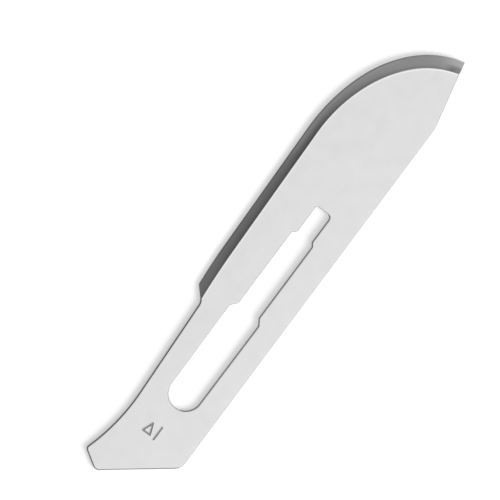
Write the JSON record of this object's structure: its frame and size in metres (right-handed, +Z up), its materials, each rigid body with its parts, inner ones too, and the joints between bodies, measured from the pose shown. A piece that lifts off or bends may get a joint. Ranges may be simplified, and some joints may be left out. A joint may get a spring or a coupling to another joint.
{
  "type": "scalpel blade",
  "caption": "Detachable surgical scalpel blade of thin sheet steel with a curved cutting belly, a slanted tail and a stepped slot for a handle.",
  "frame": {"origin": "centre of the slot's round rear end, on the underside on which the blade lies", "axes": "+X along the slot to the point, +Y towards the cutting edge, +Z up through the sheet's thickness"},
  "size_m": [0.051, 0.0096, 0.0004],
  "materials": {
    "steel": "satin tumbled faces, finely ground bevel, honed edge"
  },
  "bodies": {
    "root": {"blade": "steel"}
  },
  "joints": []
}
